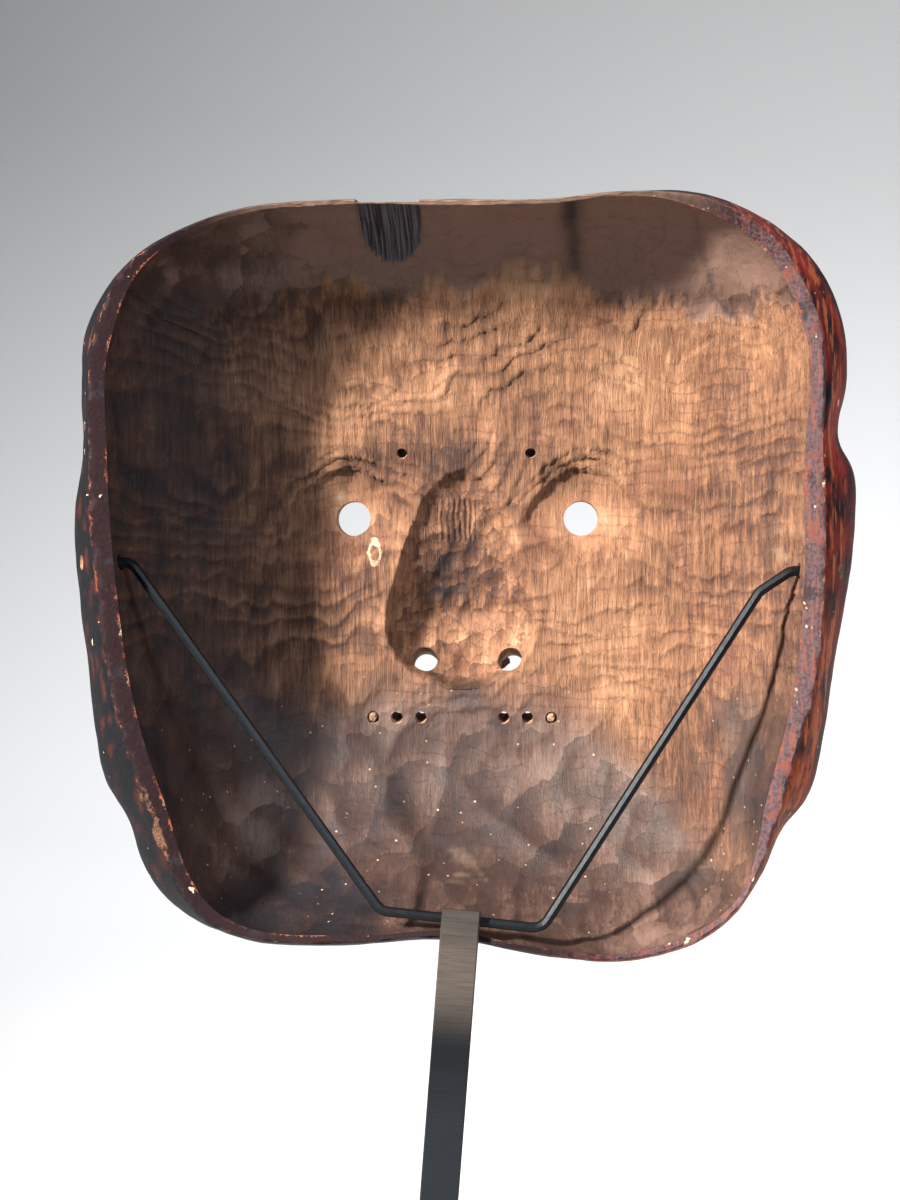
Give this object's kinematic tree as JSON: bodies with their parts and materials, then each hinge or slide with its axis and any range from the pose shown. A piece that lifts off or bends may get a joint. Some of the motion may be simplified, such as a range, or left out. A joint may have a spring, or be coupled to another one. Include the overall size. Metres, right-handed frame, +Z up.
{
  "type": "kagura mask on a stand",
  "caption": "Carved wooden kagura mask with a lobed outline, deep hollow back and pierced eyes, held by a bent rod on a flat-bar steel stand.",
  "frame": {"origin": "centre of the foot's underside", "axes": "+Z up, the mask's face looks along -Y and its hollow opens along +Y, +X towards the wearer's left"},
  "size_m": [0.2537, 0.15, 0.4244],
  "materials": {
    "carved_wood": "old bare carved wood inside, worn red and black lacquer outside",
    "stub_wood": "pale broken wood",
    "blackened_rod": "blackened steel, satin",
    "blackened_bar": "blackened steel, brushed satin",
    "blackened_foot": "blackened steel, satin"
  },
  "bodies": {
    "root": {"mask": "carved_wood", "whisker_peg_a": "stub_wood", "whisker_peg_b": "stub_wood", "cradle_rod": "blackened_rod", "stand_bar": "blackened_bar", "stand_foot": "blackened_foot"}
  },
  "joints": []
}
